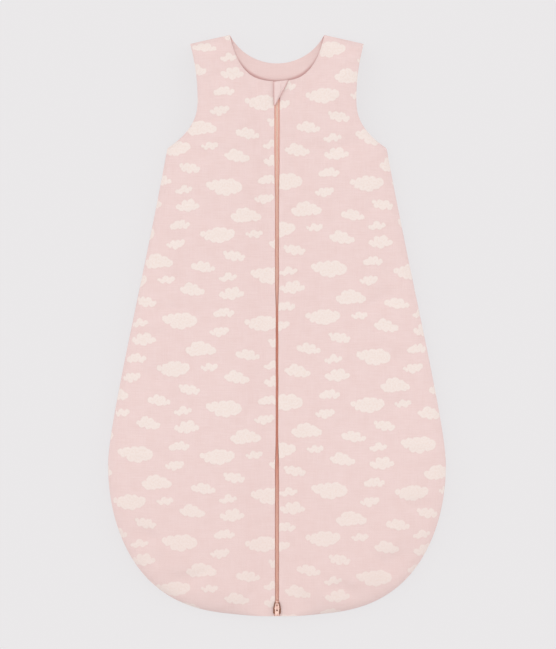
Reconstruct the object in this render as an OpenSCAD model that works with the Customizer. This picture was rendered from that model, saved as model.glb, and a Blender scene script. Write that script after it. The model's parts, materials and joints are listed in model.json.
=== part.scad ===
// Padded baby sleeping bag, lying on its back: front up, neck towards +Y, hem towards -Y.
// The origin is on the surface that it lies on, in the middle of its length and width.
// Left is -X and right is +X, as seen from above with the neck at the top.

/* [Outline] */
// Length from the neck points of the shoulders to the hem
bag_length = 700; // [600:1:900]
// Half width between the two neck points
neck_half = 57; // [50:1:65]
// Half width at the shoulder tips
shoulder_half = 105; // [98:1:115]
// Fall of each shoulder from its neck point to its tip
shoulder_drop = 11; // [2:1:25]
// Half width at the narrowest place between the armholes
chest_half = 95.5; // [88:0.5:104]
// Depth of that place below the neck points
chest_drop = 78; // [68:1:90]
// Half width at the underarm points
underarm_half = 132.5; // [120:0.5:150]
// Depth of the underarm points below the neck points
underarm_drop = 137; // [125:1:160]
// Half width at the widest place
hip_half = 204; // [180:1:240]
// Height of the widest place above the hem
foot_rise = 181; // [140:1:220]
// Power of the foot's curve across the bag: 2 is an ellipse, and more makes the hem flatter
hem_power = 3.2; // [2:0.05:4]
// Power of the foot's curve along the bag: 2 is an ellipse, and more makes the sides straighter
foot_power = 2; // [1.8:0.05:3]
// How far the side seam leans out on its upper stretch
side_lean = 27.5; // [15:0.5:35]
// Depth of the front neckline below the neck points
front_neck_drop = 57.5; // [48:0.5:65]
// Depth of the back neckline below the neck points
back_neck_drop = 33.5; // [22:0.5:42]

/* [Layers] */
// Thickness of the outer cloth
shell_t = 0.9; // [0.6:0.1:1.5]
// Thickness of the lining cloth
lining_t = 0.9; // [0.6:0.1:1.5]
// Thickness of the wadding
wadding_t = 7; // [4:0.5:12]
// Thickness of the wadding where a seam presses it flat
wadding_edge_t = 1.2; // [1:0.1:2]
// Height of the space inside for the baby
cavity_h = 12; // [8:0.5:24]
// Height of the side seam and the hem seam above the back's lining
seam_rise = 2.3; // [1:0.1:5]
// Width over which the padding swells up from an edge
swell_w = 30; // [20:1:40]
// Air between two layers of cloth
ply_gap = 0.2; // [0.1:0.05:0.3]

/* [Zip chain] */
// Half of the slit between the two fronts
slit_half = 3.3; // [3.1:0.1:4.5]
// Distance from the middle of the zip to the outer side of a coil
coil_half = 2.8; // [2.4:0.1:2.9]
// Half of the slot between the coils, in which the slider's post runs
coil_slot_half = 0.7; // [0.6:0.05:0.9]
// Height of a coil
coil_h = 2.6; // [2.2:0.1:3.2]
// Distance from the middle of the zip to the outer edge of a tape
tape_half = 14; // [12:0.5:14.5]
// Thickness of a tape
tape_t = 0.6; // [0.4:0.05:0.8]
// Length of an end stop
stop_l = 3; // [2:0.5:4]
// Length of the retainer box
box_l = 9; // [7:0.5:12]
// Radius of the insertion pin
pin_r = 0.8; // [0.6:0.05:0.9]
// Length of the insertion pin
pin_l = 14; // [12:0.5:18]
// Clearance round the insertion pin in its box
pin_clear = 0.1; // [0.05:0.01:0.2]

/* [Slider] */
// Length of the slider's plates
slider_l = 14.7; // [12:0.1:18]
// Width of the plates at the end that faces the hem
slider_wide = 9; // [8:0.1:10]
// Width of the plates at the end that faces the neck
slider_narrow = 6.2; // [5.5:0.1:7]
// Thickness of each plate
plate_t = 0.8; // [0.6:0.05:0.9]
// Thickness of the post that joins the plates
post_t = 1; // [0.8:0.05:1.1]
// Length of the post
post_l = 4; // [3:0.1:5]
// Clearance between a plate and the chain
slider_clear = 0.3; // [0.2:0.05:0.4]
// Width of the crown that holds the pull tab
crown_w = 2.2; // [1.8:0.1:2.4]
// Thickness of the crown's legs and roof
crown_t = 0.8; // [0.6:0.05:1]
// Distance from the pull tab's axis to the end of the plates that faces the neck
crown_inset = 3; // [2.6:0.1:5]

/* [Pull tab] */
// Length of the tab from its axis to its round end
tab_l = 14; // [11:0.5:24]
// Width of the tab
tab_w = 5; // [4.4:0.1:6]
// Thickness of the tab
tab_t = 1; // [0.8:0.05:1.1]
// Radius of the bar that the tab turns on
bar_r = 0.6; // [0.5:0.05:0.65]
// Clearance round the bar under the crown
bar_clear = 0.3; // [0.2:0.05:0.4]
// Radius of the hole in the tab
tab_hole_r = 1; // [0.6:0.05:1.2]
// Distance of the hole's middle from the tab's round end
tab_hole_rise = 6.3; // [2.2:0.1:7]

/* [Guards] */
// Length of the chin guard down from the neckline
chin_l = 28; // [22:1:36]
// Reach of the chin guard past the zip's middle, to the right
chin_reach = 13.6; // [10:0.2:16]
// Distance from the zip's middle to the chin guard's sewn edge
chin_sewn = 4.1; // [3.8:0.1:5]
// Thickness of the folded chin guard
chin_t = 1.3; // [0.8:0.1:2]
// Reach of the zip guard past the zip's middle on its sewn side
guard_sewn = 30; // [20:1:40]
// Reach of the zip guard past the zip's middle on its free side
guard_free = 14; // [10:1:20]
// Thickness of the zip guard
guard_t = 0.8; // [0.5:0.1:1.2]
// Clearance between a guard and what it lies on
guard_clear = 0.3; // [0.2:0.05:0.4]

/* [Hidden] */
$fn = 48;

cloth = [0.93, 0.82, 0.80];
lining_cloth = [0.93, 0.78, 0.76];
fill = [0.97, 0.97, 0.95];
coral = [0.86, 0.55, 0.48];
rose_metal = [0.90, 0.66, 0.58];

// Heights along the bag, and the levels of its layers
top_y = bag_length / 2;
hem_y = -bag_length / 2;
hip_y = hem_y + foot_rise;
underarm_y = top_y - underarm_drop;
chest_y = top_y - chest_drop;
tip_y = top_y - shoulder_drop;
front_neck_y = top_y - front_neck_drop;
back_neck_y = top_y - back_neck_drop;
back_neck_r = (neck_half ^ 2 + back_neck_drop ^ 2) / (2 * back_neck_drop);
back_neck_cy = back_neck_y + back_neck_r;
pad_z = shell_t + ply_gap + wadding_t + ply_gap + lining_t;
seam_z = pad_z + seam_rise;
front_lining_z = pad_z + cavity_h;
zip_z = front_lining_z + lining_t + ply_gap;
coil_top = zip_z + coil_h;
tape_in = coil_half + 0.1;

// Rows of the cloth's grid: along the foot, the side, the lower armhole and the upper armhole
foot_rows = 8;
side_rows = 6;
low_arm_rows = 4;
high_arm_rows = 6;
rows = foot_rows + side_rows + low_arm_rows + high_arm_rows;
neck_row = rows - high_arm_rows;
cols = 11;
// The first row's outer end lies on the hem at this angle of the foot's curve
hem_angle = 83;
// Part of the armhole's height that the rows below the neckline take
low_arm_share = 0.4;
armhole_power = 2.6;
// The side seam's curve holds its direction for these parts of its height
side_pull = [0.4, 0.13];
// Plain strip of the front beside the slit, and the column where the wadding starts
fold_w = 2.7;
tape_cover = tape_half + 1 - slit_half;
flat_half = tape_half - 5;
// The front keeps its level beside the zip right down to the hem
ridge_half = tape_half + 2;
ridge_fade = 45;
// The side seam opens into the armhole over this length
underarm_fade = 35;
shoulder_swell = 24;

// Lengths along the zip
tape_y = hem_y + 0.3;
stop_y = hem_y + 0.4;
coil_end_gap = 0.2;
coil_y = stop_y + stop_l + coil_end_gap;
slider_y = coil_y + coil_end_gap;
tape_top = front_neck_y - 2;
box_y = front_neck_y - 4.5 - box_l;
pin_y = box_y + box_l - 1.5 - pin_l;
chin_top_y = front_neck_y - 1;
chin_tip_y = chin_top_y - chin_l;
// Parts of the chin guard's length and reach at which its two edges bend towards the tip
chin_bend = 0.65;
chin_bend_reach = 0.36;
chin_tip_reach = 0.45;

// Levels of the slider
plate_low = zip_z - slider_clear - plate_t;
plate_high = coil_top + slider_clear;
plate_top = plate_high + plate_t;
axis_y = slider_y + slider_l - crown_inset;
axis_z = plate_top + bar_clear + bar_r;
crown_gap = bar_r + bar_clear;
crown_reach = crown_gap + crown_t;
window_l = norm([crown_reach, crown_gap + crown_t]) + bar_clear;
arm_w = (tab_w - crown_w) / 2 - bar_clear;

function bezier(p, t) =
    (1 - t) ^ 3 * p[0] + 3 * (1 - t) ^ 2 * t * p[1] + 3 * (1 - t) * t ^ 2 * p[2] + t ^ 3 * p[3];

// 0 at an edge, rising in a quarter wave to 1 at the width w
function swell(d, w) = sin(90 * max(0, min(1, d / w)));

// 1 up to the start, falling in a smooth wave to 0 over the length w
function fade(d, w) = (1 + cos(180 * max(0, min(1, d / w)))) / 2;

// Outer edge of the right half, row by row: hem, side seam, armhole, shoulder tip
function foot_point(angle) =
    [hip_half * cos(angle) ^ (2 / hem_power), hip_y - foot_rise * sin(angle) ^ (2 / foot_power)];

side_curve = [[hip_half, hip_y],
              [hip_half, hip_y + side_pull[1] * (underarm_y - hip_y)],
              [underarm_half + side_lean, underarm_y - side_pull[0] * (underarm_y - hip_y)],
              [underarm_half, underarm_y]];

function armhole_x(y) = y < chest_y
    ? chest_half + (underarm_half - chest_half) * ((chest_y - y) / (chest_y - underarm_y)) ^ armhole_power
    : chest_half + (shoulder_half - chest_half) * ((y - chest_y) / (tip_y - chest_y)) ^ 2;

function armhole_point(t) =
    let (y = underarm_y + (tip_y - underarm_y) * t) [armhole_x(y), y];

// Share of the way through a stretch of rows that starts at the row first
function share(j, first, count) = (j - first) / count;

function outer_point(j) =
    let (side = foot_rows, arm = foot_rows + side_rows)
    j <= side ? foot_point(hem_angle * (1 - share(j, 0, foot_rows)))
    : j <= arm ? bezier(side_curve, share(j, side, side_rows))
    : j <= neck_row ? armhole_point(low_arm_share * share(j, arm, low_arm_rows))
    : armhole_point(low_arm_share + (1 - low_arm_share) * share(j, neck_row, high_arm_rows));

// Inner edge of the right half: up the middle to the neckline, then round it to the neck point
front_neck_curve = [[slit_half, front_neck_y],
                    [neck_half * 0.67, front_neck_y],
                    [neck_half * 0.885, top_y - front_neck_drop * 0.52],
                    [neck_half, top_y]];

function back_neck_point(t) =
    let (angle = asin(neck_half / back_neck_r) * t)
    [back_neck_r * sin(angle), back_neck_cy - back_neck_r * cos(angle)];

function inner_point(j, front) =
    let (arm = foot_rows + side_rows, x = front ? slit_half : 0, low = front ? front_neck_y : back_neck_y)
    j <= foot_rows ? [x, hem_y + foot_rise * share(j, 0, foot_rows)]
    : j <= arm ? [x, outer_point(j)[1]]
    : j <= neck_row ? [x, underarm_y + (low - underarm_y) * share(j, arm, low_arm_rows)]
    : front ? bezier(front_neck_curve, share(j, neck_row, high_arm_rows))
    : back_neck_point(share(j, neck_row, high_arm_rows));

// Places of the columns from the inner to the outer edge, closer together towards the edges
function front_column(i, length) =
    let (first = min(0.06, fold_w / length), second = min(0.25, tape_cover / length))
    i == 0 ? 0 : i == 1 ? first
    : second + (1 - second) * (1 - cos(180 * share(i, 2, cols - 2))) / 2;

function back_column(i) = sin(90 * i / cols);

function plan_point(i, j, front) =
    let (a = inner_point(j, front), b = outer_point(j))
    a + (b - a) * (front ? front_column(i, norm(b - a)) : back_column(i));

// Distance from a plan point to the hem or side seam, in the foot from the slope of its curve's equation
function edge_distance(p, j) =
    let (q = [p[0] / hip_half, max(0, hip_y - p[1]) / foot_rise],
         inside = 1 - q[0] ^ hem_power - q[1] ^ foot_power,
         slope = [hem_power * q[0] ^ (hem_power - 1) / hip_half,
                  foot_power * q[1] ^ (foot_power - 1) / foot_rise])
    j < foot_rows ? inside / norm(slope) : norm(outer_point(j) - p);

function shoulder_distance(p) =
    top_y - shoulder_drop * (p[0] - neck_half) / (shoulder_half - neck_half) - p[1];

function neck_distance(p, front) =
    let (q = norm([p[0] / neck_half, (p[1] - top_y) / front_neck_drop]), d = norm([p[0], p[1] - top_y]))
    front ? (q - 1) / max(q, 0.1) * d : norm([p[0], p[1] - back_neck_cy]) - back_neck_r;

// How far the inside is open at a plan point: 0 in a seam, 1 in the middle and at the armholes
function openness(p, j) =
    let (sewn = fade(p[1] - underarm_y + underarm_fade, underarm_fade),
         side = sewn * (1 - swell(edge_distance(p, j), swell_w)),
         shoulder = 1 - swell(shoulder_distance(p), shoulder_swell))
    1 - max(side, shoulder);

// Thickness of the wadding at a plan point
function padding(p, j, front) =
    let (edge = swell(edge_distance(p, j), swell_w) * swell(shoulder_distance(p), shoulder_swell),
         neck = swell(neck_distance(p, front), swell_w),
         zip = front ? swell(p[0] - flat_half, swell_w) : 1)
    wadding_edge_t + (wadding_t - wadding_edge_t) * edge * neck * zip;

// Level of the lining's inner face, then of the faces further out, in order
function lining_level(p, j, front) =
    let (open = openness(p, j), ridge = fade(p[0] - ridge_half, ridge_fade), lift = front_lining_z - seam_z)
    front ? seam_z + lift * (ridge + (1 - ridge) * open)
    : seam_z - seam_rise * open + (lift * ridge - ply_gap) * (1 - open);

function face_depth(face, p, j, front) =
    let (pad = padding(p, j, front))
    [0, lining_t, lining_t + ply_gap, lining_t + ply_gap + pad,
     lining_t + 2 * ply_gap + pad, lining_t + 2 * ply_gap + pad + shell_t][face];

function cloth_point(i, j, face, front) =
    let (p = plan_point(i, j, front), depth = face_depth(face, p, j, front))
    [p[0], p[1], lining_level(p, j, front) + (front ? depth : -depth)];

// One layer of cloth: the right half alone on the front, and both halves joined on the back.
// The faces low and high bound the layer, and inset leaves out the cells at the sewn edges.
module layer(low, high, front, first_col, inset) {
    sides = front ? [0] : [0, 1];
    last_col = cols - inset;
    last_row = rows - inset;
    stride = cols + 1;
    side_points = (rows + 1) * stride;
    function mirrored(p, s) = s == 0 ? p : [-p[0], p[1], p[2]];
    // The middle line is shared by both halves of the back up to the neckline
    function index(i, j, s) =
        (i == 0 && j <= neck_row && !front ? 0 : s) * side_points + j * stride + i;
    function used(i, j) =
        j >= inset && j < last_row && i >= 0 && i < last_col
        && (i >= first_col || (!front && j < neck_row - inset));
    function joined(i, j) = i == 0 && !front && used(0, j) && j < neck_row;
    function turned(face, s) = s == 0 ? face : [for (k = [len(face) - 1:-1:0]) face[k]];
    n = len(sides) * side_points;
    points = [for (face = [high, low], s = sides, j = [0:rows], i = [0:cols])
        mirrored(cloth_point(i, j, face, front), s)];
    function up(i, j, s) = index(i, j, s);
    function down(i, j, s) = n + index(i, j, s);
    function wall(a, b, s) =
        [turned([up(a[0], a[1], s), up(b[0], b[1], s), down(b[0], b[1], s)], s),
         turned([up(a[0], a[1], s), down(b[0], b[1], s), down(a[0], a[1], s)], s)];
    faces = [for (s = sides, j = [0:rows - 1], i = [0:cols - 1]) if (used(i, j)) each concat(
        [turned([up(i, j, s), up(i, j + 1, s), up(i + 1, j + 1, s)], s),
         turned([up(i, j, s), up(i + 1, j + 1, s), up(i + 1, j, s)], s),
         turned([down(i + 1, j + 1, s), down(i, j + 1, s), down(i, j, s)], s),
         turned([down(i + 1, j, s), down(i + 1, j + 1, s), down(i, j, s)], s)],
        used(i + 1, j) ? [] : wall([i + 1, j], [i + 1, j + 1], s),
        used(i - 1, j) || joined(i, j) ? [] : wall([i, j + 1], [i, j], s),
        used(i, j - 1) ? [] : wall([i, j], [i + 1, j], s),
        used(i, j + 1) ? [] : wall([i + 1, j + 1], [i, j + 1], s))];
    polyhedron(points, faces, convexity = 4);
}

// The back's faces are counted downwards, so its lower face comes last in the list
module back_layer(inner, outer, first_col, inset) layer(outer, inner, false, first_col, inset);

module front_layer(inner, outer, first_col, inset) layer(inner, outer, true, first_col, inset);

module left_side() mirror([1, 0, 0]) children();

module shell_half() color(cloth) front_layer(4, 5, 0, 0);
module wadding_half() color(fill) front_layer(2, 3, 2, 1);
module lining_half() color(lining_cloth) front_layer(0, 1, 1, 0);

module back_shell() color(cloth) back_layer(4, 5, 0, 0);
module back_wadding() color(fill) back_layer(2, 3, 1, 1);
module back_lining() color(lining_cloth) back_layer(0, 1, 0, 0);
module front_right_shell() shell_half();
module front_right_wadding() wadding_half();
module front_right_lining() lining_half();
module front_left_shell() left_side() shell_half();
module front_left_wadding() left_side() wadding_half();
module front_left_lining() left_side() lining_half();

// A solid of constant section along the zip: the section is drawn in X and Z
module along_zip(y, length)
    translate([0, y + length, 0]) rotate([90, 0, 0]) linear_extrude(length) children();

// Woven tape, sewn between the outer cloth and the lining
module zip_tape() color(coral) along_zip(tape_y, tape_top - tape_y)
    translate([tape_in, zip_z]) square([tape_half - tape_in, tape_t]);

// Coil with a round back, on the tape's inner edge
module zip_coil(end_y) color(coral) along_zip(coil_y, end_y - coil_y) {
    r = coil_h / 2;
    intersection() {
        translate([coil_slot_half, zip_z]) square([coil_half - coil_slot_half, coil_h]);
        union() {
            translate([coil_half - r, zip_z + r]) circle(r);
            translate([0, zip_z]) square([coil_half - r, coil_h]);
        }
    }
}

module end_stop() color(rose_metal) along_zip(stop_y, stop_l)
    translate([coil_slot_half, zip_z]) square([coil_half - coil_slot_half, coil_h]);

module right_zip_tape() zip_tape();
module left_zip_tape() left_side() zip_tape();
module right_zip_coil() zip_coil(pin_y - coil_end_gap);
module left_zip_coil() left_side() zip_coil(box_y - coil_end_gap);
module right_end_stop() end_stop();
module left_end_stop() left_side() end_stop();

pin_x = (coil_slot_half + coil_half) / 2;
pin_z = zip_z + coil_h / 2;

// Box at the neck end of the left coil, with the bore for the pin
module retainer_box() color(rose_metal) difference() {
    translate([-coil_half, box_y, zip_z]) cube([2 * coil_half, box_l, coil_h]);
    translate([pin_x, box_y - 1, pin_z]) rotate([-90, 0, 0])
        cylinder(r = pin_r + pin_clear, h = box_l);
}

// Pin at the neck end of the right coil
module insertion_pin() color(rose_metal) translate([pin_x, pin_y, pin_z]) rotate([-90, 0, 0])
    cylinder(r = pin_r, h = pin_l);

// Cloth strip behind the chain, sewn to the left front's lining
module zip_guard() color(lining_cloth) {
    y = hem_y + swell_w + 2;
    translate([-guard_sewn, y, front_lining_z - guard_clear - guard_t])
        cube([guard_sewn + guard_free, tape_top - y, guard_t]);
}

module plate() {
    corner = 1;
    shoulder = post_l + 1;
    wide = slider_wide / 2;
    narrow = slider_narrow / 2;
    right = [[wide - corner, 0], [wide, corner], [wide, shoulder], [narrow, slider_l - corner],
             [narrow - corner, slider_l]];
    left = [for (k = [len(right) - 1:-1:0]) [-right[k][0], right[k][1]]];
    linear_extrude(plate_t) polygon(concat(right, left));
}

// Two plates round the chain, joined by the post that parts the coils
module slider_body() color(rose_metal) translate([0, slider_y, 0]) {
    translate([0, 0, plate_low]) plate();
    translate([0, 0, plate_high]) plate();
    translate([-post_t / 2, 0.5, plate_low + plate_t / 2]) cube([post_t, post_l, plate_high - plate_low]);
}

// Bridge over the pull tab's bar
module slider_crown() color(rose_metal) translate([-crown_w / 2, axis_y, 0]) {
    leg_h = axis_z + crown_gap - plate_top;
    for (y = [crown_gap, -crown_reach])
        translate([0, y, plate_top]) cube([crown_w, crown_t, leg_h]);
    translate([0, -crown_reach, plate_top + leg_h]) cube([crown_w, 2 * crown_reach, crown_t]);
}

// Tab that lies towards the hem, on a bar under the crown
module pull_tab() color(rose_metal) translate([0, axis_y, axis_z]) {
    end_r = tab_w / 2;
    translate([-tab_w / 2, 0, 0]) rotate([0, 90, 0]) cylinder(r = bar_r, h = tab_w);
    translate([0, 0, -tab_t / 2]) linear_extrude(tab_t) difference() {
        union() {
            translate([0, end_r - tab_l]) circle(end_r);
            translate([-tab_w / 2, end_r - tab_l]) square([tab_w, tab_l - end_r - window_l]);
            for (x = [-tab_w / 2, tab_w / 2 - arm_w])
                translate([x, -window_l - 0.1]) square([arm_w, window_l + 0.1]);
        }
        translate([0, tab_hole_rise - tab_l]) circle(tab_hole_r);
    }
}

// Folded triangle of cloth over the zip's neck end, sewn along its left edge
module chin_guard() color(cloth) translate([0, 0, coil_top + guard_clear]) linear_extrude(chin_t)
    polygon([[-chin_sewn, chin_top_y],
             [-chin_sewn, chin_top_y - chin_l * chin_bend],
             [-chin_sewn * chin_tip_reach, chin_tip_y],
             [0, chin_tip_y + 1],
             [chin_reach * chin_bend_reach, chin_top_y - chin_l * chin_bend],
             [chin_reach, chin_top_y]]);

back_shell();
back_wadding();
back_lining();
front_left_shell();
front_left_wadding();
front_left_lining();
front_right_shell();
front_right_wadding();
front_right_lining();
left_zip_tape();
right_zip_tape();
left_zip_coil();
right_zip_coil();
left_end_stop();
right_end_stop();
retainer_box();
insertion_pin();
zip_guard();
slider_body();
slider_crown();
pull_tab();
chin_guard();
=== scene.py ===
"""Looks of a padded baby sleeping bag that lies on its back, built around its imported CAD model.

All lengths are in metres. Left is -X and right is +X, seen from above with the neck at the top.
"""

import json
import math

import bmesh
import bpy
import numpy as np
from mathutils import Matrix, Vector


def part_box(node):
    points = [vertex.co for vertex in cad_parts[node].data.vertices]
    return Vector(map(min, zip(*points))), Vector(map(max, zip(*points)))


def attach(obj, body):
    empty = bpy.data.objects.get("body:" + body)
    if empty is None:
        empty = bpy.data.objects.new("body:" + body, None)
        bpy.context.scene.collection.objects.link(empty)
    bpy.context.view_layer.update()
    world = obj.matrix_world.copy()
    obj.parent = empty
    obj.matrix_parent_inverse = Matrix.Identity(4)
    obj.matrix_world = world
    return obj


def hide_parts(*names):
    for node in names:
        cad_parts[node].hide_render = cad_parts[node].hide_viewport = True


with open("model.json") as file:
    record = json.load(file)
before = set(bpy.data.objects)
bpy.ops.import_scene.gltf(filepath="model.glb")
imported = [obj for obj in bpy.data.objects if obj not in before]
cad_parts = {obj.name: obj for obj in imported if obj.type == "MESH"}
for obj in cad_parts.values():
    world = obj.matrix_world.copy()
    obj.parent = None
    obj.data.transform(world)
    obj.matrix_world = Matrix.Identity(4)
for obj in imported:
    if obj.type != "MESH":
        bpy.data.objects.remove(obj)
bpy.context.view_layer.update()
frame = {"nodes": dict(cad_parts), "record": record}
scene = bpy.context.scene
MM = 0.001

# Outline of the right half
bag_low, bag_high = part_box("back_shell")
TOP_Y, HEM_Y, HIP_HALF = bag_high.y, bag_low.y, bag_high.x
FOOT_RISE = 181 * MM
HEM_POWER, FOOT_POWER = 3.2, 2.0
HIP_Y = HEM_Y + FOOT_RISE
UNDERARM_HALF, UNDERARM_Y = 132.5 * MM, TOP_Y - 137 * MM
SIDE_LEAN = 27.5 * MM
SIDE_PULL_TOP, SIDE_PULL_HIP = 0.4, 0.13
CHEST_HALF, CHEST_Y = 95.5 * MM, TOP_Y - 78 * MM
TIP_HALF, TIP_Y = 105 * MM, TOP_Y - 11 * MM
ARMHOLE_POWER = 2.6
ARM_SPLIT = 0.4
NECK_HALF = 57 * MM
FRONT_NECK_DROP = 57.5 * MM
BACK_NECK_DROP = 33.5 * MM
NECK_PULL_LOW, NECK_PULL_HIGH, NECK_PULL_DROP = 0.67, 0.885, 0.52
BACK_NECK_POINTS = 80
FRONT_NECK_Y = TOP_Y - FRONT_NECK_DROP
BACK_NECK_Y = TOP_Y - BACK_NECK_DROP
SLIT_HALF = 3.3 * MM
HEM_JOIN = 1 * MM
# The grid of a panel turns its corner where the foot's curve has this angle
CORNER_ANGLE = math.radians(50)

# Levels of the layers
PAD_T = 8.1 * MM
LINING_T = 0.9 * MM
PLY_GAP = 0.25 * MM
SEAM_Z = 11.5 * MM
SEAM_GAP, SEAM_LAP, SEAM_STRIP = 0.15 * MM, 0.25 * MM, 2 * MM
FRONT_RISE = 10.65 * MM
BACK_FALL = 3.25 * MM
SWELL_W = 30 * MM
ZIP_SWELL_W = 46 * MM
SHOULDER_SWELL_W = 24 * MM
EDGE_SWELL_W = 20 * MM
UNDERARM_START, UNDERARM_FADE = 6 * MM, 35 * MM
RIDGE_HALF, RIDGE_FADE = 16 * MM, 45 * MM
STRIP_T, STRIP_ROUND, STRIP_W = 1.25 * MM, 0.45 * MM, 5.7 * MM
TAPE_LIFT, TAPE_HALF, TAPE_FADE = 0.8 * MM, 14 * MM, 10 * MM
LEAN_LEAST, LEAN_CHAIN, LEAN_MIDDLE, LEAN_WAVE = 0.35 * MM, 0.95 * MM, 0.7 * MM, 0.12 * MM
LEAN_W, LEAN_FADE = 30 * MM, 45 * MM
LEAN_LOW_Y, LEAN_HIGH_Y = -130 * MM, 12 * MM
COIL_RIDE, COIL_RIDE_W, RIDE_THIN = 1.35 * MM, 7 * MM, 0.45
CHAIN_LOW_Y, CHAIN_HIGH_Y = -336 * MM, 135 * MM
CHAIN_LOW_FADE, CHAIN_HIGH_FADE = 6 * MM, 85 * MM
LEAN_WAVES = (0.11, 0.067, 0.043)
NECK_DROOP, NECK_DROOP_W = 7 * MM, 45 * MM
ZIP_HOLD_FADE = 20 * MM
NECK_SWELL, NECK_SWELL_W, NECK_SWELL_START = 3.5 * MM, 30 * MM, 14 * MM
BACK_DROP, BACK_DROP_W = 4.5 * MM, 22 * MM

# Grid of a panel: fine steps at its edges, and cells of about this size between them
EDGE_STEPS = np.array([0, 0.5, 1.2, 2.5, 5, 8.5]) * MM
CELL, LEAST_CELLS = 4.6 * MM, 3
FRONT_COLUMNS = 46
BACK_COLUMNS = 36
LINING_INSET = 3

# Sign of x on each side
SIDES = {"left": -1, "right": 1}


class Shade:
    """A shader value that takes part in Python expressions."""

    def __init__(self, finish, socket):
        self.finish = finish
        self.socket = socket

    def __add__(self, other):
        return self.finish.maths("ADD", self, other)

    def __sub__(self, other):
        return self.finish.maths("SUBTRACT", self, other)

    def __mul__(self, other):
        return self.finish.maths("MULTIPLY", self, other)

    def __radd__(self, other):
        return self.finish.maths("ADD", other, self)

    def __rsub__(self, other):
        return self.finish.maths("SUBTRACT", other, self)

    def __rmul__(self, other):
        return self.finish.maths("MULTIPLY", other, self)


class Finish:
    """A material whose nodes are written as expressions."""

    def __init__(self, name, **constants):
        self.material = bpy.data.materials.new(name)
        self.material.use_nodes = True
        self.tree = self.material.node_tree
        self.shader = self.tree.nodes["Principled BSDF"]
        for socket, value in constants.items():
            self.shader.inputs[socket.replace("_", " ")].default_value = value

    def feed(self, socket, value):
        if isinstance(value, Shade):
            self.tree.links.new(value.socket, socket)
        else:
            socket.default_value = value

    def node(self, kind, settings=None, sockets=None, out=0):
        made = self.tree.nodes.new("ShaderNode" + kind)
        for name, value in (settings or {}).items():
            setattr(made, name, value)
        for key, value in (sockets or {}).items():
            self.feed(made.inputs[key], value)
        return Shade(self, made.outputs[out])

    def place(self):
        """Place in the bag's own frame, in metres."""
        return self.node("TexCoord", out="Object")

    def maths(self, operation, a, b=0.0):
        return self.node("Math", {"operation": operation}, {0: a, 1: b})

    def vectors(self, operation, a, b=(0, 0, 0), c=(0, 0, 0)):
        return self.node("VectorMath", {"operation": operation}, {0: a, 1: b, 2: c})

    def ramp(self, value, low, high):
        """0 below low and 1 above high, with a smooth step between them."""
        settings = {"interpolation_type": "SMOOTHSTEP"}
        return self.node("MapRange", settings, {0: value, 1: low, 2: high})

    def tint(self, share, first, second):
        return self.node("Mix", {"data_type": "RGBA"}, {0: share, 6: first, 7: second}, out=2)

    def noise(self, point, scale, detail=2.0, roughness=0.5):
        sockets = {"Vector": point, "Scale": scale, "Detail": detail, "Roughness": roughness}
        return self.node("TexNoise", {}, sockets)

    def finish(self, **varying):
        for socket, value in varying.items():
            self.feed(self.shader.inputs[socket.replace("_", " ")], value)
        return self.material

    def bump(self, height, depth):
        return self.node("Bump", {}, {"Height": height, "Distance": depth, "Strength": 1.0})


def colour(red, green, blue):
    """A colour written as it looks on screen, from 0 to 255."""
    def linear(value):
        value /= 255
        return value / 12.92 if value <= 0.04045 else ((value + 0.055) / 1.055) ** 2.4
    return (linear(red), linear(green), linear(blue), 1.0)


# Cloud print: one tile of it, in millimetres, set aslant, with the half widths of its clouds
TILE = (120.0, 118.0)
TILE_TURN = math.radians(27)
CLOUD_HALVES = (21.5, 20.5, 19, 15.5, 15, 14.5, 14, 12.5, 11.5, 10.5, 10)
CLOUD_FLAT = 0.5
CLOUD_TRIES = 600
CLOUD_ROOM = 16.0
# Puffs of a cloud: up to which half width, how many and how fat, then shares of that half width
PUFF_COUNTS = ((11.2, 5, 0.36), (16, 7, 0.325), (99, 9, 0.315))
CLOUD_SLANT, CLOUD_LEAN, CLOUD_CROWN = 0.14, 0.35, 0.06
PUFF_SPREAD, PUFF_TAPER, PUFF_SIZES = 0.77, 0.42, (0.86, 1.2)
PUFF_STEP, PUFF_STEP_TAPER = 0.15, 0.8
PUFF_DRIFT_X, PUFF_DRIFT_Y = 0.04, 0.05
HEART_SIZE, HEART_DRIFT = 0.31, 0.15
PRINT_SEED = 11


def cloud_places():
    """Seeded places for the tile's clouds, well apart also across the tile's edges."""
    draw = np.random.default_rng(PRINT_SEED)
    cosine, sine = math.cos(TILE_TURN), math.sin(TILE_TURN)
    turn = np.array([[cosine, -sine], [sine, cosine]])
    tile = np.array(TILE)
    placed = []
    for half in CLOUD_HALVES:
        best, best_room = None, -math.inf
        for _ in range(CLOUD_TRIES):
            spot = turn @ draw.uniform((0, 0), tile)
            room = CLOUD_ROOM
            for other_spot, other in placed:
                away = turn.T @ (spot - other_spot)
                away = turn @ ((away + tile / 2) % tile - tile / 2)
                room = min(room, math.hypot(away[0], away[1] / CLOUD_FLAT) - half - other)
            if room > best_room:
                best, best_room = spot, room
        placed.append((best, half))
    return placed


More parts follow.
